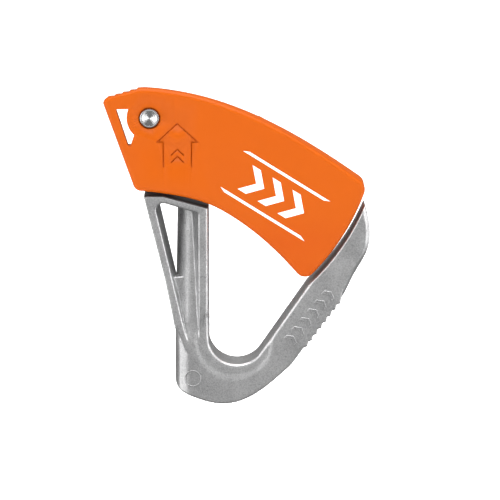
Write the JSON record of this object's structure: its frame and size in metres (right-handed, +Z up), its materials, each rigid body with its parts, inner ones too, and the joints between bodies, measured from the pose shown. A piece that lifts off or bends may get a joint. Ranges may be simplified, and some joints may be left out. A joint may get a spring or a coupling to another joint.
{
  "type": "rope ascender",
  "caption": "Light rope ascender: forged frame with a toothed rope channel and a carabiner opening, closed by a sprung plastic lever on a rivet.",
  "frame": {"origin": "on the rope channel's axis, in the smooth lower end of the channel", "axes": "+Z up the rope along the channel, +X from the channel towards the carabiner opening, -Y out of the front face"},
  "size_m": [0.0702, 0.0242, 0.0853],
  "materials": {
    "forged_aluminium": "satin, tumbled forging",
    "stainless_steel": "plain stainless",
    "turned_steel": "lathe turned",
    "spring_wire": "drawn wire",
    "orange_nylon": "fine moulded texture"
  },
  "bodies": {
    "frame_body": {"frame": "forged_aluminium", "tooth_plate": "stainless_steel", "tooth_plate_rivets": "stainless_steel", "pivot_rivet": "turned_steel", "pivot_bush": "stainless_steel", "pivot_washer": "stainless_steel", "return_spring": "spring_wire"},
    "lever_body": {"cover": "orange_nylon"}
  },
  "joints": [
    {"name": "lever_hinge", "type": "hinge", "parent": "frame_body", "child": "lever_body", "pos_m": [-0.0153, 0, 0.0694], "axis": [0, -1, 0], "range_deg": [0, 22], "stiffness_Nm_per_rad": 0.02, "springref_deg": -28.65, "deforming": ["return_spring"]}
  ]
}
